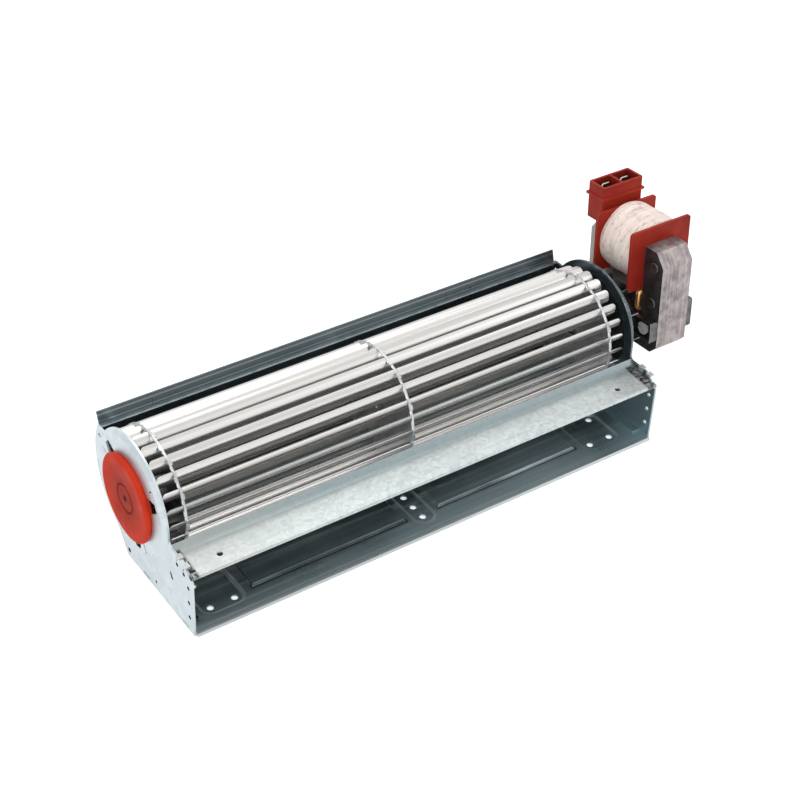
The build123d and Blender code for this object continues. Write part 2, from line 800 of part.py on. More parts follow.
def screw_slot(x_head, y, z):
    """The driver's slot in a head whose face lies at X and looks towards the plate's side."""
    return block(
        x_head - 1, x_head + slot_depth, y - screw_head_radius, y + screw_head_radius,
        z - slot_width / 2, z + slot_width / 2,
    )


def bearing_clip(x_face, outward):
    """The star spring that keeps a bush in its hub."""
    edges = sorted((x_face, x_face + outward * clip_sheet))
    face = Circle(hub_radius - 0.4) - Circle(shaft_radius + 1.2)
    slot = Pos(shaft_radius + 2.6, 0) * Rectangle(3.6, 0.9)
    face -= [Rot(0, 0, n * 360 / clip_fingers) * slot for n in range(clip_fingers)]
    return along_x(face, *edges)


def stack_screws():
    """Two screws through bridges and stack, with their nuts."""
    seat_near = stack_near - bridge_thickness + pocket_depth
    seat_far = stack_far + bridge_thickness - pocket_depth
    group = Part()
    for y, z in screw_places():
        nut = Rot(0, 0, 30) * RegularPolygon(screw_head_radius, 6)
        group += rod(screw_radius, seat_near, seat_far + nut_height + screw_end, y, z)
        group += rod(screw_head_radius, seat_near - screw_head, seat_near, y, z)
        group -= screw_slot(seat_near - screw_head, y, z)
        group += along_x(Pos(y, z) * nut, seat_far, seat_far + nut_height)
    return lean(group)


def plate_screws():
    """Three screws through the motor plate into the bridge's posts."""
    group = Part()
    for y, z in post_places():
        group += rod(screw_radius, motor_plate_inner, motor_plate_outer + plate_screw_length, y, z)
        group += rod(screw_head_radius, motor_plate_inner - screw_head, motor_plate_inner, y, z)
        group -= screw_slot(motor_plate_inner - screw_head, y, z)
    return group


# Coil
def terminal_places():
    """Middle of each terminal along X and Y."""
    pitch = (block_width - block_wall) / 2
    middle_y = (block_near + block_far) / 2 + terminal_setback
    return [(stack_middle - pitch / 2, middle_y), (stack_middle + pitch / 2, middle_y)]


def coil_bobbin():
    """Two flanges on a square tube, moulded in one with the terminal block."""
    flange = RectangleRounded(2 * flange_half_width, 2 * flange_half_height, flange_corner)
    outer = Rectangle(stack_thickness + 2 * tube_wall + 0.4, stack_top - core_bottom + 2 * tube_wall)
    inner = Rectangle(stack_thickness + 0.4, stack_top - core_bottom + 0.2)
    reach = leg_inner - flange_gap

    def across(sketch, y_from, y_to):
        """Extrude a sketch, drawn with X across and Z up, from one Y to another."""
        face = Plane(origin=(stack_middle, y_from, core_middle), x_dir=(1, 0, 0),
                     z_dir=(0, -1, 0)) * sketch
        return extrude(face, amount=y_from - y_to)

    body = across(flange, -reach, -reach + flange_sheet)
    body += across(flange, reach - flange_sheet, reach)
    body += across(outer, -reach + 0.2, reach - 0.2)
    x_from = stack_middle - block_width / 2
    x_to = stack_middle + block_width / 2
    housing = block(x_from, x_to, block_near, block_far, block_bottom, block_top)
    housing = fillet(housing.edges().filter_by(Axis.Z), 0.8)
    rib_z = block_top - rib_drop
    housing += block(
        x_from - rib_standout, x_to + rib_standout, block_near - rib_standout,
        block_far + rib_standout, rib_z - rib_height, rib_z,
    )
    neck_top = core_middle + flange_half_height - 2.0
    housing += block(x_from + 2, x_to - 2, reach - 0.5, block_near + 1, block_bottom, neck_top)
    for x, y in terminal_places():
        half = (block_width - 3 * block_wall) / 4
        housing -= block(
            x - half, x + half, block_near + block_wall, block_far - block_wall,
            block_top - socket_depth, block_top + 1,
        )
        housing -= block(
            x - terminal_width / 2 - 0.1, x + terminal_width / 2 + 0.1,
            y - terminal_sheet / 2 - 0.1, y + terminal_sheet / 2 + 0.1,
            block_bottom + 2.0, block_top,
        )
    body += housing
    return lean(body - across(inner, -reach - 1, reach + 1))


def coil_winding():
    """The taped winding, round outside and square round the bobbin's tube."""
    reach = leg_inner - flange_gap - flange_sheet - flange_gap
    face = Pos(0, winding_lift) * Circle(winding_radius) - Rectangle(
        stack_thickness + 2 * tube_wall + 0.6, stack_top - core_bottom + 2 * tube_wall + 0.2
    )
    plane = Plane(origin=(stack_middle, -reach, core_middle), x_dir=(1, 0, 0), z_dir=(0, -1, 0))
    return lean(extrude(plane * face, amount=-2 * reach))


def terminal(place):
    """A flat plug tab with a chamfered tip and a hole."""
    x, y = place
    top = block_top - terminal_top_drop
    bottom = block_bottom + 2.2
    half = terminal_width / 2
    face = Polygon(
        (x - half, bottom), (x + half, bottom), (x + half, top - 1.4), (x + half - 1.2, top),
        (x - half + 1.2, top), (x - half, top - 1.4), align=None,
    ) - Pos(x, top - 4.0) * Circle(0.8)
    plane = Plane(origin=(0, y + terminal_sheet / 2, 0), x_dir=(1, 0, 0), z_dir=(0, -1, 0))
    return lean(extrude(plane * face, amount=terminal_sheet))


# Rotor
def motor_shaft():
    """The ground shaft from the drive hub through both bushes."""
    x_from = drive_disc_x - disc_sheet / 2 - 1.5
    x_to = stack_far + bridge_thickness + shaft_tail
    edge = 0.5
    return turned(
        [
            (x_from, 0), (x_from, shaft_radius - edge), (x_from + edge, shaft_radius),
            (x_to - edge, shaft_radius), (x_to, shaft_radius - edge), (x_to, 0),
        ]
    )


def rotor_core():
    """The squirrel cage rotor, with its cast end rings a little smaller than its iron."""
    radius = bore_radius - air_gap
    end = 0.4
    ring = 1.8
    bore = shaft_radius + press_gap
    x_from = stack_near + end
    x_to = stack_far - end
    return turned(
        [
            (x_from, bore), (x_from, radius - 0.7), (x_from + ring, radius - 0.7),
            (x_from + ring, radius), (x_to - ring, radius), (x_to - ring, radius - 0.7),
            (x_to, radius - 0.7), (x_to, bore),
        ]
    )


def thrust_washers():
    """A washer each side, between the rotor and its bush."""
    bore = shaft_radius + press_gap
    radius = bush_radius - 0.8
    near = (stack_near - 0.9, stack_near + 0.35)
    far = (stack_far - 0.35, stack_far + 0.9)
    washers = Part()
    for x_from, x_to in (near, far):
        washers += turned([(x_from, bore), (x_from, radius), (x_to, radius), (x_to, bore)])
    return washers


def cooling_wheel():
    """A pressed sheet wheel with bent up vanes, on the shaft between plate and motor."""
    x_disc = motor_plate_outer + wheel_offset
    bore = shaft_radius + press_gap
    wheel = rod(wheel_radius, x_disc, x_disc + wheel_sheet)
    wheel += rod(wheel_hub_radius, x_disc, x_disc + wheel_hub_length)
    bend = (wheel_radius - vane_inner) / (2 * sin(radians(vane_sweep)))
    start = (vane_inner, 0)
    end = (wheel_radius - 0.3, 0)
    line = RadiusArc(start, end, bend)
    vane = along_x(trace(line, line_width=wheel_sheet), x_disc, x_disc + vane_height)
    for n in range(vane_count):
        wheel += Rot(n * 360 / vane_count, 0, 0) * vane
    wheel = wheel & rod(wheel_radius, x_disc - 1, x_disc + vane_height + 1)
    return wheel - rod(bore, x_disc - 1, x_disc + vane_height + 1)


def all_parts():
    """Every piece by its name, drawn about the impeller's axis."""
    bush_x = idle_plate_outer - emboss_height - 1.0
    hub_face_near = stack_near - bridge_thickness - hub_standout
    hub_face_far = stack_far + bridge_thickness + hub_standout
    motor_bore = shaft_radius + running_gap
    parts = {
        "scroll_housing": scroll_housing(),
        "vortex_strip": vortex_strip(),
        "end_plate_idle": end_plate_idle(),
        "end_plate_motor": end_plate_motor(),
        "bearing_mount": bearing_mount(),
        "idle_bearing_bush": plain_bush(
            idle_bush_radius, stub_radius + running_gap, bush_x, idle_bush_length
        ),
        "motor_bridge_inner": inner_bridge_solid(),
        "motor_bridge_outer": outer_bridge_solid(),
        "bearing_bush_inner": plain_bush(bush_radius, motor_bore, hub_face_near, bush_length),
        "bearing_bush_outer": plain_bush(
            bush_radius, motor_bore, hub_face_far - bush_length, bush_length
        ),
        "bearing_clip_inner": bearing_clip(hub_face_near, -1),
        "bearing_clip_outer": bearing_clip(hub_face_far, 1),
        "stator_stack": stator_stack(),
        "coil_core": coil_core(),
        "stack_rivets": stack_rivets(),
        "stack_screws": stack_screws(),
        "plate_screws": plate_screws(),
        "shading_ring_front": shading_ring(front_ring),
        "shading_ring_rear": shading_ring(rear_ring),
        "coil_bobbin": coil_bobbin(),
        "coil_winding": coil_winding(),
        "terminal_near": terminal(terminal_places()[0]),
        "terminal_far": terminal(terminal_places()[1]),
        "impeller_disc_idle": impeller_disc(idle_disc_x),
        "impeller_disc_middle": impeller_disc(0.0),
        "impeller_disc_drive": impeller_disc(drive_disc_x),
        "stub_shaft": stub_shaft(),
        "drive_hub": drive_hub(),
        "drive_hub_screw": grub_screw(),
        "motor_shaft": motor_shaft(),
        "rotor_core": rotor_core(),
        "thrust_washers": thrust_washers(),
        "cooling_wheel": cooling_wheel(),
    }
    blade = first_blade()
    for n in range(blade_count):
        parts[f"blade_{n + 1:02d}"] = Rot(n * 360 / blade_count, 0, 0) * blade
    return parts


os.makedirs("parts", exist_ok=True)
to_base = Pos(0, axis_setback, axis_height)
for name, shape in all_parts().items():
    export_step(to_base * shape, f"parts/{name}.step")
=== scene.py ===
import bpy
import numpy as np
from mathutils import Matrix, Vector


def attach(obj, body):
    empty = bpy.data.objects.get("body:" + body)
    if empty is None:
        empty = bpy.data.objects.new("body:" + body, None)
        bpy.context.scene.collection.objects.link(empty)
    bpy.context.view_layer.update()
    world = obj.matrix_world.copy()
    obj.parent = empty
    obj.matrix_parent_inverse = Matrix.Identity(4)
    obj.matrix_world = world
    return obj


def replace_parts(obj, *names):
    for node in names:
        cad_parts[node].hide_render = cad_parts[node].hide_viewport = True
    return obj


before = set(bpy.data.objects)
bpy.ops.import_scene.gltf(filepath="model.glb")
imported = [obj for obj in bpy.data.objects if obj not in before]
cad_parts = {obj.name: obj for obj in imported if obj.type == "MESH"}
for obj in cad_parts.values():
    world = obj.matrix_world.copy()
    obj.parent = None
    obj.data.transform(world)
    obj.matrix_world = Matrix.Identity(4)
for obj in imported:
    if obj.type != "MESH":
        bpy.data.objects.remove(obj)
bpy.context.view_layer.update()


# The table that the fan stands on for its picture, with the camera and the soft lights: a
# wide pale disc under a plain studio sky. Nothing of it belongs to the fan.
def put(tree, kind, inputs=None, **settings):
    """A node of one kind, with its settings and with values or links on its inputs."""
    new = tree.nodes.new(kind)
    for name, value in settings.items():
        setattr(new, name, value)
    for name, value in (inputs or {}).items():
        if isinstance(value, bpy.types.NodeSocket):
            tree.links.new(value, new.inputs[name])
        else:
            new.inputs[name].default_value = value
    return new


def reckon(tree, operation, a, b=0.0, clamp=False):
    """One sum on two values or sockets."""
    return put(tree, "ShaderNodeMath", {0: a, 1: b}, operation=operation, use_clamp=clamp).outputs[0]


def spread(tree, value, low, high, to_low=0.0, to_high=1.0):
    """A value's range from low to high, drawn out to another range and kept inside it."""
    return put(tree, "ShaderNodeMapRange", {"Value": value, "From Min": low, "From Max": high,
                                            "To Min": to_low, "To Max": to_high}).outputs[0]


def surface_of(name, points, around=False):
    """A smooth mesh of quads between neighbouring points of a grid, rows by columns by 3,
    in metres. Around joins the last column to the first."""
    rows, columns = points.shape[:2]
    index = np.arange(rows * columns).reshape(rows, columns)
    if around:
        index = np.concatenate([index, index[:, :1]], axis=1)
    corners = (index[:-1, :-1], index[1:, :-1], index[1:, 1:], index[:-1, 1:])
    faces = np.stack(corners, axis=-1).reshape(-1, 4)
    mesh = bpy.data.meshes.new(name)
    mesh.from_pydata(points.reshape(-1, 3).tolist(), [], faces.tolist())
    mesh.shade_smooth()
    piece = bpy.data.objects.new(name, mesh)
    bpy.context.scene.collection.objects.link(piece)
    return piece


def finish_of(name, values):
    """A material of one Principled shader: what is the same all over is on its own sockets."""
    material = bpy.data.materials.new(name)
    material.use_nodes = True
    tree = material.node_tree
    tree.nodes.clear()
    shader = put(tree, "ShaderNodeBsdfPrincipled", values)
    put(tree, "ShaderNodeOutputMaterial", {"Surface": shader.outputs["BSDF"]})
    return material, tree, shader


def background_rays(tree):
    """1 for the rays that see the background: from the camera, off gloss and through glass."""
    ray = put(tree, "ShaderNodeLightPath").outputs
    seen = reckon(tree, "ADD", ray["Is Camera Ray"], ray["Is Glossy Ray"])
    return reckon(tree, "ADD", seen, ray["Is Transmission Ray"], clamp=True)


scene = bpy.context.scene
scene.view_settings.view_transform = "Standard"
table_reaches = np.array([0.0001, 0.5, 1.0, 2.0, 4.0, 6.0])
table_drop = 0.0002
table_sides = 96
table_glow = 0.62

# A point of the disc is at its ring's reach times the cosine and minus the sine of its angle.
turn = np.linspace(0, 2 * np.pi, table_sides + 1)[:-1]
heights = np.full((len(table_reaches), table_sides), -table_drop)
rings = np.stack([np.outer(table_reaches, np.cos(turn)),
                  -np.outer(table_reaches, np.sin(turn)), heights], axis=-1)
table = surface_of("table", rings, around=True)
pale_table, tree, shader = finish_of("pale_table", {
    "Base Color": (0.74, 0.745, 0.75, 1), "Roughness": 0.8, "Specular IOR Level": 0.1,
    "Emission Color": (1, 1, 1, 1)})
glow = reckon(tree, "MULTIPLY", background_rays(tree), table_glow)
tree.links.new(glow, shader.inputs["Emission Strength"])
table.data.materials.append(pale_table)

sky_heights = (-0.1, 0.9)
sky_strengths = (0.3, 0.64)
sky_colour = (0.98, 0.99, 1, 1)
studio = bpy.data.worlds.new("studio")
scene.world = studio
studio.use_nodes = True
tree = studio.node_tree
tree.nodes.clear()
way = put(tree, "ShaderNodeTexCoord").outputs["Generated"]
height = put(tree, "ShaderNodeSeparateXYZ", {0: way}).outputs["Z"]
strength = spread(tree, height, *sky_heights, *sky_strengths)
soft = put(tree, "ShaderNodeBackground", {"Color": sky_colour, "Strength": strength})
white = put(tree, "ShaderNodeBackground", {"Color": (1, 1, 1, 1), "Strength": 1})
both = put(tree, "ShaderNodeMixShader", {0: background_rays(tree), 1: soft.outputs[0],
                                         2: white.outputs[0]})
put(tree, "ShaderNodeOutputWorld", {"Surface": both.outputs[0]})

# Each lamp is a square panel at a place, turned to face the middle of the fan.
lit_point = Vector((0, 0, 0.04))
for name, place, size, watts in (("key_panel", (-0.75, -0.75, 0.95), 0.7, 6.2),
                                 ("fill_panel", (1.1, -0.6, 0.8), 0.8, 1.8),
                                 ("top_panel", (0.1, 0.5, 1.25), 0.9, 5.4)):
    lamp = bpy.data.lights.new(name, "AREA")
    lamp.size = size
    lamp.energy = watts
    panel = bpy.data.objects.new(name, lamp)
    scene.collection.objects.link(panel)
    place = Vector(place)
    facing = (lit_point - place).to_track_quat("-Z", "Y").to_matrix().to_4x4()
    panel.matrix_world = Matrix.Translation(place) @ facing

eye = np.array([-0.37514, -0.50094, 0.54332])
aim = np.array([0.00897, 0.02701, 0.04468])
roll = np.radians(2.646)
focal_length = 77.11
ahead = (aim - eye) / np.linalg.norm(aim - eye)
level = np.cross(ahead, [0, 0, 1])
level = level / np.linalg.norm(level)
upright = np.cross(level, ahead)
right = np.cos(roll) * level + np.sin(roll) * upright
top = -np.sin(roll) * level + np.cos(roll) * upright
pose = np.eye(4)
pose[:3] = np.column_stack([right, top, -ahead, eye])
lens = bpy.data.cameras.new("photo_view")
lens.sensor_fit = "HORIZONTAL"
lens.sensor_width = 36.0
lens.lens = focal_length
lens.clip_start = 0.01
camera = bpy.data.objects.new("photo_view", lens)
camera.matrix_world = Matrix(pose.tolist())
scene.collection.objects.link(camera)
scene.camera = camera


# The housing: one length of galvanised sheet, 0.8 mm, folded into floor, scroll and back
# flange. Its zinc is a dull grey blue with rolling streaks and faint crystal flakes.
def new_group(name, inputs, outputs):
    """An empty shader group: inputs are (name, socket kind, value), outputs (name, kind)."""
    group = bpy.data.node_groups.new(name, "ShaderNodeTree")
    for label, kind, value in inputs:
        socket = group.interface.new_socket(label, in_out="INPUT", socket_type="NodeSocket" + kind)
        socket.default_value = value
    for label, kind in outputs:
        group.interface.new_socket(label, in_out="OUTPUT", socket_type="NodeSocket" + kind)
    return group, put(group, "NodeGroupInput").outputs, put(group, "NodeGroupOutput").inputs


def spot_on(tree):
    """The place of a point of the piece in Object coordinates, which are metres."""
    return put(tree, "ShaderNodeTexCoord").outputs["Object"]


def parts_of(tree, vector):
    """The X, Y and Z of a place or a direction."""
    return put(tree, "ShaderNodeSeparateXYZ", {0: vector}).outputs


def steer(tree, operation, a, b=(0, 0, 0)):
    """One sum on two vectors. A length and a dot product come out as a value."""
    result = "Value" if operation in ("LENGTH", "DOT_PRODUCT") else "Vector"
    return put(tree, "ShaderNodeVectorMath", {0: a, 1: b}, operation=operation).outputs[result]


def product(tree, first, *others):
    """Values multiplied one after another."""
    for other in others:
        first = reckon(tree, "MULTIPLY", first, other)
    return first


def off_from(tree, value, place=0.0):
    """How far a value is from a place, to either side."""
    return reckon(tree, "ABSOLUTE", reckon(tree, "SUBTRACT", value, place))


def line_at(tree, value, place, half_width):
    """1 where a value is at a place, falling to 0 at the half width to either side."""
    return spread(tree, off_from(tree, value, place), 0.3 * half_width, half_width, 1.0, 0.0)


def grey_noise(tree, place, scale, detail, stretch=(1, 1, 1), roughness=0.5):
    """Soft noise from 0 to 1 on Object coordinates, squeezed along each axis by stretch."""
    laid = put(tree, "ShaderNodeMapping", {"Vector": place, "Scale": stretch})
    return put(tree, "ShaderNodeTexNoise", {
        "Vector": laid.outputs[0], "Scale": scale, "Detail": detail,
        "Roughness": roughness}).outputs["Fac"]


def blend_colours(tree, amount, first, second):
    """Two colours mixed, from the first at 0 to the second at 1."""
    mix = put(tree, "ShaderNodeMix", {0: amount, 6: first, 7: second}, data_type="RGBA")
    return mix.outputs[2]


def coated(tree, tint, *coats):
    """A tint under coats of colour, one over another: each is a mask and its colour."""
    for mask, colour in coats:
        tint = blend_colours(tree, mask, tint, (*colour, 1))
    return tint


# Zinc: crystal flakes with wavy borders, clouds and streaks along X add up to a mix of two
# tones. The clouds also change the gloss, and the streaks and a grain make the relief.
zinc, given, result = new_group("zinc_skin", [
    ("Dark", "Color", (0.2, 0.25, 0.27, 1)), ("Light", "Color", (0.5, 0.55, 0.57, 1)),
    ("Flake Scale", "Float", 160.0), ("Flakes", "Float", 0.5), ("Clouds", "Float", 0.6),
    ("Streaks", "Float", 0.3), ("Gloss", "Float", 0.35)],
    [("Color", "Color"), ("Roughness", "Float"), ("Height", "Float")])
border_bend = 0.006
spot = spot_on(zinc)
bend = put(zinc, "ShaderNodeTexNoise", {"Vector": spot, "Scale": 90.0, "Detail": 2.0})
shift = put(zinc, "ShaderNodeVectorMath", {0: bend.outputs["Color"], "Scale": border_bend},
            operation="SCALE").outputs[0]
wavy = steer(zinc, "ADD", spot, shift)
cell = put(zinc, "ShaderNodeTexVoronoi", {"Vector": wavy, "Scale": given["Flake Scale"]})
flake = put(zinc, "ShaderNodeSeparateColor", {0: cell.outputs["Color"]}).outputs[0]
cloud = grey_noise(zinc, spot, 22.0, 5.0)
streak = grey_noise(zinc, spot, 1.0, 4.0, (5, 420, 420))
grain = grey_noise(zinc, spot, 1400.0, 2.0)
flakes, clouds, streaks = (
    reckon(zinc, "MULTIPLY", reckon(zinc, "SUBTRACT", value, 0.5), given[name])
    for value, name in ((flake, "Flakes"), (cloud, "Clouds"), (streak, "Streaks")))
total = reckon(zinc, "ADD", reckon(zinc, "ADD", flakes, clouds), streaks)
total = reckon(zinc, "ADD", total, 0.5, clamp=True)
zinc.links.new(blend_colours(zinc, total, given["Dark"], given["Light"]), result["Color"])
matt = reckon(zinc, "ADD", given["Gloss"], spread(zinc, cloud, 0.3, 0.7, -0.06, 0.08))
zinc.links.new(matt, result["Roughness"])
relief = reckon(zinc, "ADD", product(zinc, streak, 0.6), product(zinc, grain, 0.4))
zinc.links.new(relief, result["Height"])

# Edges: where the normal of a rounded copy leaves the face's own, in patches of wear. Some finishes use
# the mask for painted highlights too.
edges, given, result = new_group("bare_edges", [
    ("Reach", "Float", 0.0004), ("Amount", "Float", 1.0)], [("Mask", "Float")])
alike_inside, alike_on_edge = 0.985, 0.86
rounded = put(edges, "ShaderNodeBevel", {"Radius": given["Reach"]}, samples=4).outputs[0]
flat = put(edges, "ShaderNodeNewGeometry").outputs["Normal"]
alike = steer(edges, "DOT_PRODUCT", rounded, flat)
wear_and_highlight = spread(edges, alike, alike_inside, alike_on_edge)
rub = spread(edges, grey_noise(edges, spot_on(edges), 240.0, 3.0), 0.3, 0.6, 0.35, 1.0)
patchy = reckon(edges, "MULTIPLY", wear_and_highlight, rub)
edges.links.new(reckon(edges, "MULTIPLY", patchy, given["Amount"], clamp=True), result["Mask"])


def grouped(tree, group, values):
    """A group's outputs, placed in a material with that material's own values."""
    return put(tree, "ShaderNodeGroup", values, node_tree=group).outputs


def edge_mask(tree, reach, amount):
    """1 on a piece's edges, as far in as the reach in metres, times an amount."""
    return grouped(tree, edges, {"Reach": reach, "Amount": amount})["Mask"]


def roughen(tree, shader, height, strength, depth):
    """Relief on a shader: the height, its strength from 0 to 1 and its depth in metres."""
    bump = put(tree, "ShaderNodeBump", {"Height": height, "Strength": strength, "Distance": depth})
    tree.links.new(bump.outputs[0], shader.inputs["Normal"])


def zinc_finish(name, stain_and_light, dark, light, edge, values, metal=0.85):
    """Zinc coated sheet: a function that stains its colour and paints light and shade on it
    by place, its two tones, the colour of its cut edges, the values of its zinc and how far
    it is metal."""
    material, tree, shader = finish_of(name, {"Metallic": metal})
    skin = grouped(tree, zinc, {"Dark": (*dark, 1), "Light": (*light, 1), **values})
    rim = edge_mask(tree, 0.00045, 0.8)
    tint = coated(tree, stain_and_light(tree, spot_on(tree), skin["Color"]), (rim, edge))
    tree.links.new(tint, shader.inputs["Base Color"])
    tree.links.new(skin["Roughness"], shader.inputs["Roughness"])
    roughen(tree, shader, skin["Height"], 0.25, 0.0001)
    return material


def clad(material, *names):
    """The CAD nodes of these names take the material."""
    for name in names:
        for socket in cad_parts[name].material_slots:
            socket.material = material


# Places on the housing. A pair is where a mark starts to change and where it ends, and a
# line has its place and its half width.
floor_top = (0.003, 0.004)
floor_depth = (0.006, -0.019)
floor_length = (-0.11, 0.13)
hem_start = (-0.0185, -0.0198)
panel_inner = (0.0082, 0.0088)
panel_outer = (0.0948, 0.0954)
panel_slope = (-0.0075, 0.0017)
flange_foot = (0.058, 0.064)
flange_folds = ((0.0652, 0.0005), (0.0622, 0.0004))
front_ridges = ((-0.0177, 0.0007), (-0.0200, 0.0005))
centre_pad = (0.0, (0.0056, 0.0137), 0.005)
end_pads = (0.10995, (0.0108, 0.0127), 0.0056)
pad_edge_half_width = 0.0012


def pressed_edge(tree, spot, middle_x, half, corner):
    """1 on the edge of a rounded rectangle pressed in the floor at x and -x: where the
    distance of |spot| - middle from the rectangle less its corners is the corner radius."""
    folded = steer(tree, "ABSOLUTE", spot)
    near = steer(tree, "ABSOLUTE", steer(tree, "SUBTRACT", folded, (middle_x, 0, 0)))
    past = steer(tree, "SUBTRACT", near, (half[0] - corner, half[1] - corner, 1))
    distance = steer(tree, "LENGTH", steer(tree, "MAXIMUM", past))
    return line_at(tree, distance, corner, pad_edge_half_width)


def housing_streaks_and_light(tree, spot, tint):
    """The floor is streaked by rolling, with painted light towards its front, its front hem and
    the motor, painted shade on the slope of its raised panels and painted highlights along its
    pressed pads and its front bend. The back flange has painted light, a little paler than the
    scroll, and painted highlights on its two fold lines."""
    place = parts_of(tree, spot)
    outward = off_from(tree, place["X"])
    floor = spread(tree, place["Z"], *floor_top, 1.0, 0.0)
    forward = spread(tree, place["Y"], *floor_depth, 0.0, 0.75)
    motorward = spread(tree, place["X"], *floor_length, -0.25, 0.35)
    # Painted light: the floor is lighter towards its front and the motor.
    lit = product(tree, reckon(tree, "ADD", forward, motorward, clamp=True), floor)
    rolled = spread(tree, grey_noise(tree, spot, 1.0, 3.0, (9, 330, 330)), 0.52, 0.7, 0.0, 0.4)
    # Painted light: the front hem is paler.
    hem = product(tree, spread(tree, place["Y"], *hem_start, 0.0, 0.8), floor)
    panel = product(tree, spread(tree, outward, *panel_inner),
                    spread(tree, outward, *panel_outer, 1.0, 0.0))
    smudge_and_shade_patches = spread(tree, grey_noise(tree, spot, 1.0, 3.0, (22, 150, 40)), 0.45, 0.68, 1.0, 0.4)
    # Painted shade on the slope of the raised panels, in patches.
    slope = product(tree, line_at(tree, place["Y"], *panel_slope), floor, panel, smudge_and_shade_patches)
    # Painted light: the back flange is paler than the scroll.
    flange = spread(tree, place["Z"], *flange_foot, 0.0, 0.6)
    # Painted highlights on the back flange's two folds.
    folds = reckon(tree, "MAXIMUM", *(line_at(tree, place["Z"], *fold) for fold in flange_folds))
    # Painted highlights along the pressed pads' edges and the front bend, in patches.
    pads = reckon(tree, "MAXIMUM", *(pressed_edge(tree, spot, *pad) for pad in (centre_pad, end_pads)))
    ridge = reckon(tree, "MAXIMUM", *(line_at(tree, place["Y"], *line) for line in front_ridges))
    wear_and_highlight = spread(tree, grey_noise(tree, spot, 90.0, 3.0), 0.3, 0.6, 0.35, 0.8)
    pressed_edge_highlight = product(tree, reckon(tree, "MAXIMUM", pads, ridge), floor, wear_and_highlight)
    return coated(tree, tint,
                  (lit, (0.5, 0.65, 0.7)),
                  (product(tree, rolled, floor), (0.6, 0.7, 0.73)),
                  (hem, (0.55, 0.57, 0.57)),
                  (slope, (0.03, 0.042, 0.047)),
                  (flange, (0.29, 0.37, 0.4)),
                  (product(tree, folds, 0.6), (0.75, 0.82, 0.84)),
                  (pressed_edge_highlight, (0.62, 0.7, 0.72)))


# The sheet's dark tones are painted shade on the same zinc as the strip's.
clad(zinc_finish("galvanised_sheet", housing_streaks_and_light, (0.045, 0.068, 0.08), (0.2, 0.255, 0.28),
                 (0.75, 0.79, 0.8),
                 {"Flakes": 0.12, "Gloss": 0.3, "Clouds": 1.1, "Streaks": 0.9}), "scroll_housing")

# The strip over the outlet: brighter galvanised sheet with a fine, clear spangle, its lip
# curled in towards the wheel and its ends tabbed through the end plates.
lip_fade = (-0.0075, -0.0025)
idle_fade = (-0.05, -0.12)
notch_ends = (0.1262, 0.1275)
flat_bottom = (0.0335, 0.0342)
flat_top = (0.0368, 0.0362)


def strip_tone_and_shade(tree, spot, tint):
    """The lip by the wheel and the idle end are darker, and painted shade sits in both ends' notches.
    """
    place = parts_of(tree, spot)
    lip = spread(tree, place["Y"], *lip_fade, 0.0, 0.75)
    idle = spread(tree, place["X"], *idle_fade, 0.0, 0.4)
    end = spread(tree, off_from(tree, place["X"]), *notch_ends)
    patchy = spread(tree, grey_noise(tree, spot, 420.0, 4.0), 0.35, 0.6, 0.4, 1.0)
    flat_part = product(tree, spread(tree, place["Z"], *flat_top),
                        spread(tree, place["Z"], *flat_bottom))
    # Painted shade in the notches at both ends, in patches, on the strip's flat part.
    recess_shade = product(tree, end, patchy, flat_part)
    return coated(tree, tint, (lip, (0.2, 0.26, 0.28)), (idle, (0.4, 0.41, 0.38)),
                  (recess_shade, (0.03, 0.026, 0.022)))


clad(zinc_finish("galvanised_strip", strip_tone_and_shade, (0.39, 0.45, 0.46), (0.72, 0.75, 0.74),
                 (0.84, 0.86, 0.87),
                 {"Flakes": 0.42, "Flake Scale": 620.0, "Gloss": 0.44, "Clouds": 0.7,
                  "Streaks": 0.5}), "vortex_strip")

# The two end plates: blanks of zinc coated sheet, 1 mm thick, punched, pressed and hooked
# over the housing's ends. The idle end's is pale, and the motor's is darker with painted shade.
punched_front = (-0.0186, -0.0182)
punched_top = (0.0345, 0.0335)
shade_line = (0.037, 0.031)


def punched_hole_shade(tree, spot, tint):
    """Painted shade on the walls of the small holes along the plate's front: what faces
    neither along the axis nor down, behind the front edge and below the strip."""
    place = parts_of(tree, spot)
    facing = parts_of(tree, put(tree, "ShaderNodeTexCoord").outputs["Normal"])
    wall = spread(tree, off_from(tree, facing["X"]), 0.6, 0.4)
    not_down = spread(tree, facing["Z"], -0.35, -0.25)
    inside = product(tree, spread(tree, place["Y"], *punched_front),
                     spread(tree, place["Z"], *punched_top))
    # Painted shade on the hole walls.
    recess_shade = product(tree, wall, not_down, inside)
    return coated(tree, tint, (recess_shade, (0.02, 0.022, 0.024)))


def lit_below_strip(tree, spot, tint):
    """Painted light: below the strip the plate is lighter than round the wheel."""
    low = spread(tree, parts_of(tree, spot)["Z"], *shade_line, 0.0, 0.85)
    return coated(tree, tint, (low, (0.34, 0.46, 0.5)))


clad(zinc_finish("plate_zinc", punched_hole_shade, (0.49, 0.57, 0.6), (0.71, 0.77, 0.79),
                 (0.86, 0.89, 0.9),
                 {"Flakes": 0.4, "Gloss": 0.42, "Clouds": 0.8, "Streaks": 0.15}, metal=0.6),
     "end_plate_idle")
# The motor plate's dark tones are painted shade on the same zinc as the idle plate's.
clad(zinc_finish("plate_zinc_shaded", lit_below_strip, (0.045, 0.07, 0.08), (0.13, 0.175, 0.19),
                 (0.8, 0.85, 0.87),
                 {"Flakes": 0.4, "Gloss": 0.34, "Clouds": 0.8, "Streaks": 0.2}), "end_plate_motor")


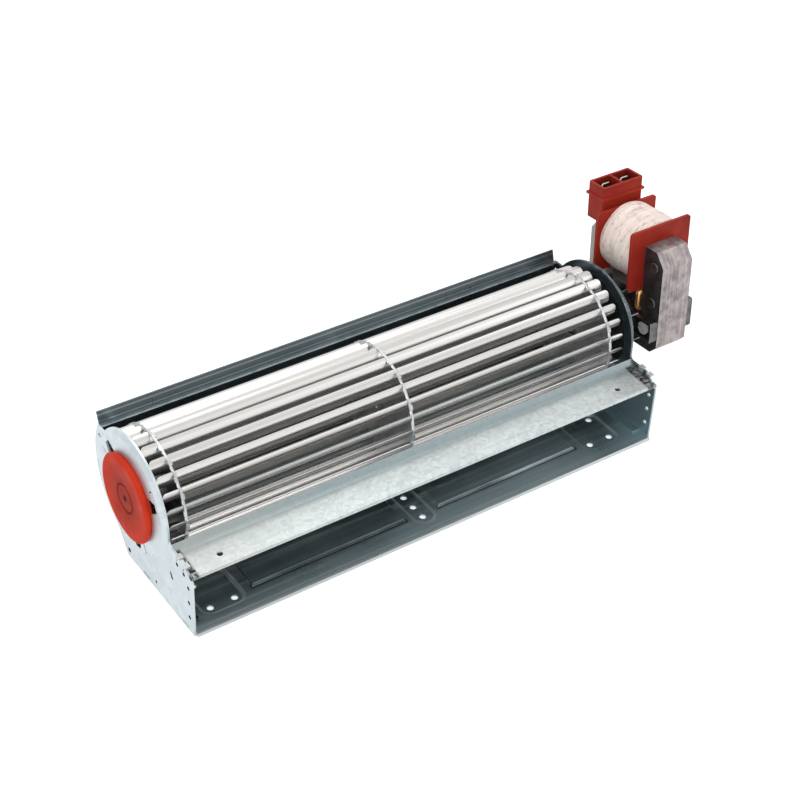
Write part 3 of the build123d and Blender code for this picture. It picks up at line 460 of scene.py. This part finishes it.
# The red bearing mount: moulded silicone rubber, turned into the plate's three notches like
# a bayonet. The bush pressed in behind it and the motor's two are of sintered bronze.
def mould_finish(name, dark, light, gloss, grain_depth, values, painted_shade):
    """Moulded rubber or plastic: cloudy colour, a fine moulded grain and edges paler with wear,
    with a function that gives its painted shade by place."""
    material, tree, shader = finish_of(name, values)
    spot = spot_on(tree)
    cloud = spread(tree, grey_noise(tree, spot, 70.0, 4.0), 0.3, 0.7)
    tint = blend_colours(tree, cloud, (*dark, 1), (*light, 1))
    pale = tuple(min(1.0, 1.5 * part + 0.04) for part in light)
    # The last coat is painted shade, from the function given.
    tint = coated(tree, tint, (edge_mask(tree, 0.0005, 0.45), pale),
                  (painted_shade(tree, spot), (0.012, 0.007, 0.006)))
    tree.links.new(tint, shader.inputs["Base Color"])
    smear = grey_noise(tree, spot, 160.0, 5.0)
    tree.links.new(spread(tree, smear, 0.3, 0.7, gloss - 0.07, gloss + 0.1), shader.inputs["Roughness"])
    roughen(tree, shader, grey_noise(tree, spot, 2600.0, 2.0), 0.3, grain_depth)
    return material


axis_y, axis_z = 0.033, 0.0436
groove_radius = 0.0071
groove_fade = (0.0004, 0.0018)
dimple_fade = (0.0014, 0.0032)
dish_fade = (0.0075, 0.0185)
behind_plate = (-0.1317, -0.1312)


def from_axis(tree, spot):
    """A point's distance from the wheel's axis, in metres."""
    moved = steer(tree, "SUBTRACT", spot, (0, axis_y, axis_z))
    return steer(tree, "LENGTH", steer(tree, "MULTIPLY", moved, (0, 1, 1)))


def mount_shade(tree, spot):
    """Painted shade in the cap's ring groove and its middle dimple, a little over its face from
    the groove outwards, and all over what is behind the plate's face."""
    radius = from_axis(tree, spot)
    groove = spread(tree, off_from(tree, radius, groove_radius), *groove_fade, 0.6, 0.0)
    dimple = spread(tree, radius, *dimple_fade, 0.85, 0.0)
    dish = spread(tree, radius, *dish_fade, 0.42, 0.0)
    behind = spread(tree, parts_of(tree, spot)["X"], *behind_plate)
    shown = reckon(tree, "MAXIMUM", reckon(tree, "MAXIMUM", groove, dimple), dish)
    return reckon(tree, "MAXIMUM", shown, behind)


clad(mould_finish("red_elastomer", (0.58, 0.03, 0.011), (0.7, 0.05, 0.017), 0.5, 0.00005,
                  {"Specular IOR Level": 0.05}, mount_shade), "bearing_mount")


def metal_finish(name, dark, light, gloss, stretch=(1, 1, 1), metal=1.0, edge=None, scale=60.0):
    """Bare metal: two tones in a noise drawn out along its grain, with brighter edges where
    an edge colour is given."""
    material, tree, shader = finish_of(name, {"Metallic": metal})
    spot = spot_on(tree)
    tone = grey_noise(tree, spot, scale, 5.0, stretch, 0.6)
    tint = blend_colours(tree, spread(tree, tone, 0.32, 0.68), (*dark, 1), (*light, 1))
    if edge:
        tint = coated(tree, tint, (edge_mask(tree, 0.0003, 0.8), edge))
    tree.links.new(tint, shader.inputs["Base Color"])
    dull = grey_noise(tree, spot, 4 * scale, 3.0, stretch)
    tree.links.new(spread(tree, dull, 0.3, 0.7, gloss - 0.05, gloss + 0.09), shader.inputs["Roughness"])
    roughen(tree, shader, dull, 0.3, 0.00004)
    return material


clad(metal_finish("sintered_bronze", (0.3, 0.19, 0.08), (0.5, 0.34, 0.16), 0.5, scale=900.0),
     "idle_bearing_bush", "bearing_bush_inner", "bearing_bush_outer")

# The wheel's blades: 24 strips of bright rolled aluminium, curved across and mirror like,
# with the rolls' fine lines along them. They are pushed through slots in the three discs.
blade_count = 24
stub_start = (0.1195, 0.1215)
root_radii = (0.0240, 0.0280)
blade_sheet, tree, shader = finish_of("blade_aluminium", {"Metallic": 0.9})
spot = spot_on(tree)
lines = grey_noise(tree, spot, 1.0, 2.0, (0.5, 520, 520), 0.6)
bands = grey_noise(tree, spot, 1.0, 2.0, (0.5, 150, 150))
tint = blend_colours(tree, spread(tree, bands, 0.38, 0.62), (0.55, 0.53, 0.51, 1),
                     (0.84, 0.828, 0.805, 1))
# Painted shade on the roots of the blades, most on the stubs beyond the end discs.
stub = spread(tree, off_from(tree, parts_of(tree, spot)["X"]), *stub_start, 0.3, 0.95)
root_shade = product(tree, spread(tree, from_axis(tree, spot), *root_radii, 1.0, 0.0), stub)
tint = coated(tree, tint, (spread(tree, lines, 0.5, 0.75, 0.0, 0.5), (0.5, 0.48, 0.46)),
              (root_shade, (0.03, 0.03, 0.032)))
tree.links.new(tint, shader.inputs["Base Color"])
tree.links.new(spread(tree, lines, 0.3, 0.7, 0.2, 0.36), shader.inputs["Roughness"])
roughen(tree, shader, lines, 0.2, 0.00006)
clad(blade_sheet, *("blade_%02d" % count for count in range(1, blade_count + 1)))

# The three discs that carry the blades: punched aluminium, its rim closed over each blade
# by a crimping tool, which leaves a chain of small kinks round the wheel.
disc_sheet = metal_finish("disc_aluminium", (0.4, 0.41, 0.42), (0.66, 0.67, 0.68), 0.32,
                          edge=(0.8, 0.8, 0.81))
clad(disc_sheet, "impeller_disc_idle", "impeller_disc_middle", "impeller_disc_drive")
disc_places = {"idle": -0.12, "middle": 0.0, "drive": 0.12}
first_tip = np.radians(10.3)
rim_radius = 0.0300
rim_bury = 0.0001
rim_rise = 0.00035
rim_half_height = 0.00045
rim_half_width = 0.0007
kink = 0.0007
steps_per_blade = 32
rim_section_steps = 10


def crimped_rim(name, middle):
    """A closed band round the axis. The phase goes round once from one blade's tip to the
    next. The band's radius is the rim's plus the rise times the 6th power of the cosine of
    half the phase, less what is buried in the disc. It is pushed along the axis by the kink
    times the sine of the phase times the 4th power of that cosine, and its section is an
    oval of the two half sizes."""
    t = np.linspace(0, 2 * np.pi, blade_count * steps_per_blade + 1)[:-1][:, None]
    s = np.linspace(0, 2 * np.pi, rim_section_steps + 1)[:-1][None, :]
    phase = blade_count * (t - first_tip)
    near_blade = np.abs(np.cos(0.5 * phase))
    radius = rim_radius + rim_rise * near_blade ** 6 - rim_bury
    push = kink * np.sin(phase) * near_blade ** 4
    r = radius + rim_half_height * np.sin(s)
    x = middle + push + rim_half_width * np.cos(s)
    points = np.stack([x, axis_y + r * np.cos(t), axis_z + r * np.sin(t)], axis=-1)
    rim = surface_of(name, np.concatenate([points, points[:1]]), around=True)
    rim.data.materials.append(disc_sheet)
    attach(rim, "impeller")


for label, middle in disc_places.items():
    crimped_rim("crimped_rim_" + label, middle)

# What the wheel turns on: shafts of ground steel, a cast hub with its hardened grub screw,
# the washers, and the rotor's short circuited core. The motor's bridges are of the hub's
# alloy and its bearing clips of the screw's steel.
clad(metal_finish("ground_steel", (0.55, 0.56, 0.57), (0.78, 0.79, 0.8), 0.18, (1, 0.05, 0.05),
                  scale=2500.0), "stub_shaft", "motor_shaft")
clad(metal_finish("cast_alloy", (0.07, 0.073, 0.076), (0.18, 0.183, 0.187), 0.4,
                  edge=(0.7, 0.71, 0.72), scale=300.0),
     "drive_hub", "motor_bridge_inner", "motor_bridge_outer")
clad(metal_finish("spring_steel", (0.1, 0.1, 0.11), (0.26, 0.27, 0.28), 0.35, edge=(0.5, 0.5, 0.52)),
     "drive_hub_screw", "bearing_clip_inner", "bearing_clip_outer", "thrust_washers")
clad(metal_finish("plain_steel", (0.33, 0.32, 0.32), (0.6, 0.6, 0.6), 0.36, (1, 40, 40),
                  scale=30.0), "rotor_core")

# The cooling wheel behind the motor plate: dark stamped sheet, fixed on the motor's shaft.
# Its bright cut edges are bare metal and a painted highlight too.
clad(metal_finish("dark_sheet", (0.035, 0.042, 0.045), (0.11, 0.125, 0.13), 0.3, metal=0.85,
                  edge=(0.85, 0.87, 0.88)), "cooling_wheel")

# The motor's laminations: thin steel stampings riveted into a stack. Its flat faces are
# dark; the cut edges show as fine lines, paler and mottled.
rear_leg = (0.035, 0.05)
stack_steel, tree, shader = finish_of("laminations", {"Metallic": 0.55})
spot = spot_on(tree)
facing = parts_of(tree, put(tree, "ShaderNodeTexCoord").outputs["Normal"])
flat_face = spread(tree, off_from(tree, facing["X"]), 0.6, 0.8)
upward = spread(tree, facing["Z"], 0.75, 0.98)
sheets = grey_noise(tree, spot, 1.0, 2.0, (1500, 6, 6), 0.4)
mottle = grey_noise(tree, spot, 170.0, 5.0, roughness=0.65)
tone = reckon(tree, "ADD", product(tree, sheets, 0.3), product(tree, mottle, 0.7))
cut = blend_colours(tree, spread(tree, tone, 0.38, 0.62), (0.2, 0.175, 0.175, 1),
                    (0.52, 0.46, 0.45, 1))
# Painted shade: the cut faces that face up are darker.
cut = blend_colours(tree, upward, cut, coated(tree, cut, (0.45, (0.17, 0.155, 0.155))))
skin = blend_colours(tree, spread(tree, mottle, 0.35, 0.65), (0.03, 0.027, 0.028, 1),
                     (0.075, 0.068, 0.07, 1))
# Painted reflection: the rear leg's flat faces are lighter.
rear = spread(tree, parts_of(tree, spot)["Y"], *rear_leg, 0.0, 0.8)
skin = coated(tree, skin, (rear, (0.42, 0.4, 0.38)))
tint = coated(tree, blend_colours(tree, flat_face, cut, skin),
              (edge_mask(tree, 0.00035, 0.6), (0.5, 0.48, 0.47)))
tree.links.new(tint, shader.inputs["Base Color"])
tree.links.new(spread(tree, mottle, 0.3, 0.7, 0.38, 0.58), shader.inputs["Roughness"])
roughen(tree, shader, sheets, 0.6, 0.0002)
clad(stack_steel, "stator_stack", "coil_core", "stack_rivets")

# What holds the motor: screws of pale plated steel. The long ones run through the bridges
# and the stack, and the short ones hold the inner bridge to the end plate.
clad(metal_finish("plated_steel", (0.7, 0.69, 0.66), (0.9, 0.89, 0.86), 0.35, metal=0.3,
                  edge=(0.95, 0.94, 0.9), scale=400.0), "stack_screws", "plate_screws")

# The shading rings: loops of bare copper wire, bent with even corners and closed round a
# part of each pole.
copper = metal_finish("copper", (0.85, 0.33, 0.1), (1.0, 0.52, 0.22), 0.24, (1, 1, 0.3),
                      metal=0.8, scale=160.0)
lean = np.radians(-4.0)
ring_near, ring_far = 0.1522, 0.1743
ring_wire = 0.0014
ring_bend = 0.0026
front_ring = ((-0.0128, 0.0056), (-0.0128, 0.0158))
rear_ring = ((0.0118, -0.0099), (0.0196, -0.0099))
ring_steps = 192
wire_steps = 20
next_to_nothing = 1e-9


def leaned(x, y, z):
    """Points in the motor's own frame, turned by its lean about the fan's axis and put there."""
    return np.stack([x, axis_y + y * np.cos(lean) - z * np.sin(lean),
                     axis_z + y * np.sin(lean) + z * np.cos(lean)], axis=-1)


def shading_ring(name, start, end):
    """A loop of round wire. Its middle line is a rectangle in the plane of X and of the run
    from start to end: a circle of the bend radius, its four quarters moved out towards the
    corners. The wire is a circle in the plane of the line's normal and the loop's own."""
    start, end = np.array(start), np.array(end)
    run = (end - start) / np.linalg.norm(end - start)
    half_u = (ring_far - ring_near) / 2 - ring_bend
    half_v = np.linalg.norm(end - start) / 2 - ring_bend
    t = np.linspace(0, 2 * np.pi, ring_steps + 1)[:-1]
    cos_t, sin_t = np.cos(t), np.sin(t)
    u = np.sign(cos_t) * half_u * (np.abs(cos_t) > next_to_nothing) + ring_bend * cos_t
    v = np.sign(sin_t) * half_v * (np.abs(sin_t) > next_to_nothing) + ring_bend * sin_t
    s = np.linspace(0, 2 * np.pi, wire_steps + 1)[:-1][None, :]
    x = (ring_near + ring_far) / 2 + u[:, None] + ring_wire * (cos_t[:, None] * np.cos(s))
    along_run = v[:, None] + ring_wire * (sin_t[:, None] * np.cos(s))
    side = ring_wire * np.sin(s) + 0 * x
    middle = (start + end) / 2
    y = middle[0] + run[0] * along_run - run[1] * side
    z = middle[1] + run[1] * along_run + run[0] * side
    points = leaned(x, y, z)
    ring = surface_of(name, np.concatenate([points, points[:1]]), around=True)
    ring.data.materials.append(copper)
    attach(ring, "housing")
    return ring


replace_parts(shading_ring("copper_ring_front", *front_ring), "shading_ring_front")
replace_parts(shading_ring("copper_ring_rear", *rear_ring), "shading_ring_rear")

# The bobbin and terminal block: one moulding in brown red plastic, with two flat terminals
# of tinned brass in its sockets.
coil_x = 0.16325
socket_y = 0.0594
socket_side_x = (0.0119, 0.0126)
socket_side_y = (0.0050, 0.0056)
socket_floor = (0.0925, 0.0932)
socket_depths = (0.0965, 0.1040)


def socket_shade(tree, spot):
    """The insides of the two sockets are dark, the more so the deeper."""
    place = parts_of(tree, spot)
    within = product(tree, spread(tree, off_from(tree, place["X"], coil_x), *socket_side_x, 1.0, 0.0),
                     spread(tree, off_from(tree, place["Y"], socket_y), *socket_side_y, 1.0, 0.0))
    above = spread(tree, place["Z"], *socket_floor)
    deep = spread(tree, place["Z"], *socket_depths, 0.95, 0.1)
    return product(tree, within, above, deep)


clad(mould_finish("red_plastic", (0.3, 0.02, 0.012), (0.42, 0.036, 0.018), 0.42, 0.00003,
                  {"Specular IOR Level": 0.12}, socket_shade), "coil_bobbin")
clad(metal_finish("tinned_brass", (0.55, 0.52, 0.42), (0.82, 0.8, 0.72), 0.24, (1, 1, 0.1),
                  scale=400.0), "terminal_near", "terminal_far")

# The coil: copper wire wound on the bobbin under a pale tape, through which the turns show.
# The tape goes round once and a bit more, so its end makes a low step.
coil_radius = 0.0185
coil_half = 0.0123
coil_rise = 0.03565
tape_inset = 0.0004
shoulder = 0.0009
sag_depth = 0.00012
wire_ridge = 0.00005
wire_turns = 34
wire_wander = 0.004
tape_step = 0.0002
tape_end = 2.3
steps_along = 272
steps_round = 240

# Along the coil from -1 to 1 and round it, the radius is the coil's less the inset and less
# the shoulder times the 8th power of the place along, plus a slow sag of two sines, a cosine
# ridge for each turn of wire, which wanders a little, and the step, which grows evenly from
# the tape's end once round. Each end closes in a point on the coil's middle line.
along = np.linspace(-1, 1, steps_along + 1)[:, None]
around = np.linspace(0, 2 * np.pi, steps_round + 1)[:-1][None, :]
sag = sag_depth * (np.sin(3 * around + 4 * along) + np.sin(7 * around - 6 * along + 1.0))
ridge = wire_ridge * np.cos(2 * np.pi * wire_turns * (along + wire_wander * np.sin(2 * around)))
wrap = tape_step * ((around - tape_end) % (2 * np.pi)) / (2 * np.pi)
radius = coil_radius - tape_inset - shoulder * np.abs(along) ** 8 + sag + ridge + wrap
skin = np.stack([coil_x + radius * np.cos(around), coil_half * along + 0 * around,
                 coil_rise + radius * np.sin(around)], axis=-1)
near_end, far_end = (np.broadcast_to([coil_x, side * coil_half, coil_rise], skin[:1].shape)
                     for side in (-1, 1))
skin = np.concatenate([near_end, skin, far_end])
winding = surface_of("taped_winding", leaned(*np.moveaxis(skin, -1, 0)), around=True)
tape, tree, shader = finish_of("winding_tape", {"Sheen Weight": 0.15, "Roughness": 0.55})
spot = spot_on(tree)
wires = grey_noise(tree, spot, 1.0, 3.0, (60, 700, 60), 0.6)
smudge_and_shade_patches = grey_noise(tree, spot, 170.0, 6.0, (1, 2.2, 1), roughness=0.75)
tint = blend_colours(tree, spread(tree, wires, 0.36, 0.7), (0.97, 0.87, 0.8, 1), (0.8, 0.64, 0.57, 1))
tint = coated(tree, tint, (spread(tree, smudge_and_shade_patches, 0.52, 0.66, 0.0, 0.85), (0.45, 0.33, 0.3)))
tree.links.new(tint, shader.inputs["Base Color"])
roughen(tree, shader, wires, 0.4, 0.0001)
winding.data.materials.append(tape)
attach(winding, "housing")
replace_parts(winding, "coil_winding")
